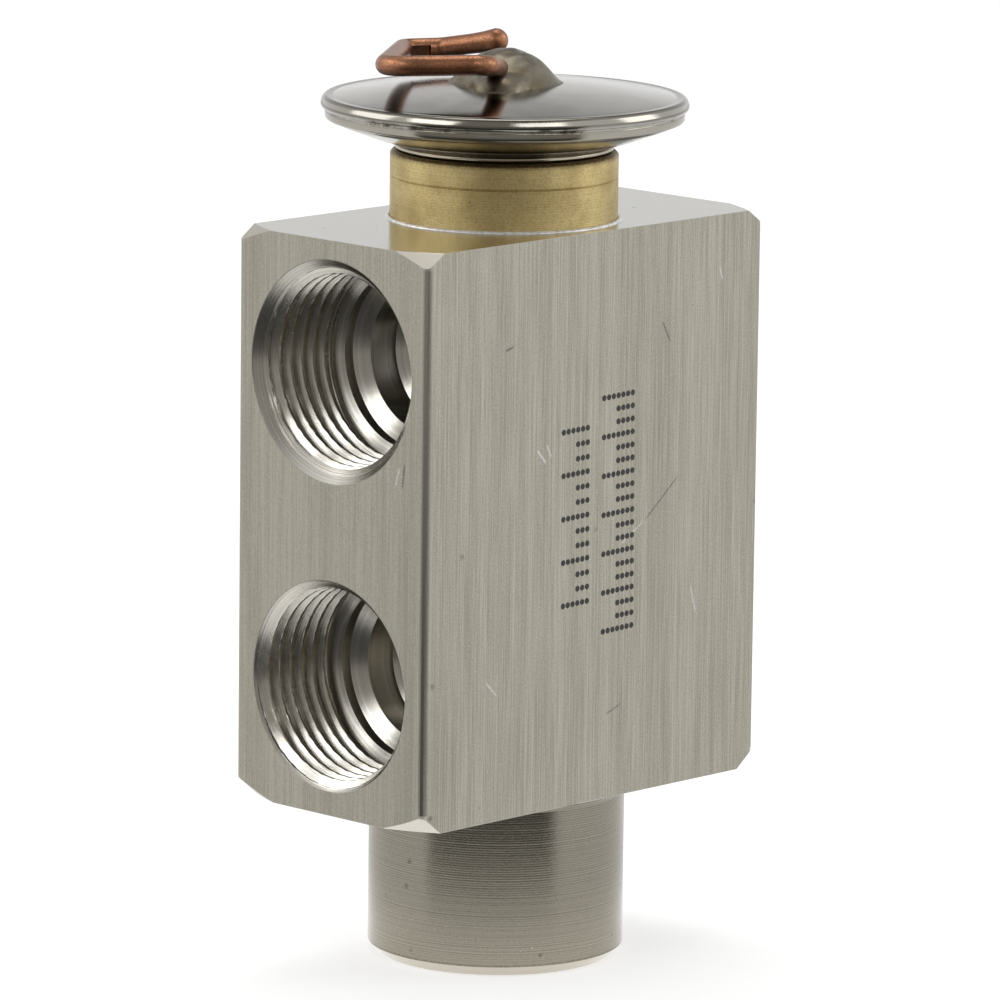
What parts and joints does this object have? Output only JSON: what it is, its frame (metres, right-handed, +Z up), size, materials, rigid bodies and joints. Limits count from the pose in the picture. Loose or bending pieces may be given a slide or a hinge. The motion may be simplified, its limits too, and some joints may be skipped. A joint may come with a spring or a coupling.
{
  "type": "thermostatic expansion valve",
  "caption": "Block-type refrigerant metering valve: aluminium block with threaded ports, a diaphragm head on a brass collar and a spring-set ball that meters liquid.",
  "frame": {"origin": "centre of the spigot's flat lower end, on the valve axis", "axes": "+Z up the valve axis towards the diaphragm head; X along the flow passages, with the liquid inlet on the -X face and the outlet on the +X face; the wide faces look along Y"},
  "size_m": [0.0462, 0.0354, 0.0889],
  "materials": {
    "aluminium_body": "extruded bar, satin, turned spigot and machined top",
    "stainless": "ground",
    "spring_steel": "drawn wire",
    "plated_steel": "zinc plated",
    "brass_turned": "turned",
    "brass_collar": "turned, slightly tarnished",
    "aluminium_rod": "turned",
    "seal_rubber": "moulded",
    "guide_plastic": "moulded",
    "head_steel": "pressed, bright and lightly smoked by soldering",
    "copper_tube": "drawn copper, oxidised",
    "solder": "cast solder, dull"
  },
  "bodies": {
    "valve": {"valve_body": "aluminium_body", "orifice_seat": "stainless", "retaining_clip": "spring_steel", "seal_retainer": "plated_steel", "pin_seal": "seal_rubber", "collar_seal": "seal_rubber", "rod_guide": "guide_plastic", "head_collar": "brass_collar", "head_base": "head_steel", "head_cover": "head_steel", "diaphragm": "stainless", "charge_tube": "copper_tube", "solder_dome": "solder"},
    "stem": {"diaphragm_plate": "plated_steel", "sensing_rod": "aluminium_rod", "push_pin": "stainless", "valve_ball": "stainless", "ball_holder": "brass_turned", "damper_ring": "stainless"},
    "spring_carrier": {"spring_seat": "plated_steel", "superheat_spring": "spring_steel"},
    "adjuster": {"adjusting_screw": "brass_turned", "screw_seal": "seal_rubber"}
  },
  "joints": [
    {"name": "stem_slide", "type": "slide", "parent": "valve", "child": "stem", "axis": [0, 0, -1], "range_m": [0, 0.0006], "stiffness_N_per_m": 1000, "springref_m": -0.001, "deforming": ["superheat_spring"]},
    {"name": "adjuster_turn", "type": "hinge", "parent": "spring_carrier", "child": "adjuster", "pos_m": [0, 0, 0.0034], "axis": [0, 0, 1], "range_deg": [-360, 360]},
    {"name": "carrier_slide", "type": "slide", "parent": "valve", "child": "spring_carrier", "axis": [0, 0, 1], "range_m": [-0.001, 0.001], "deforming": ["superheat_spring"]}
  ],
  "couplings": [
    {"joint": "adjuster_turn", "follows": "carrier_slide", "rad_per_m": 6283}
  ]
}
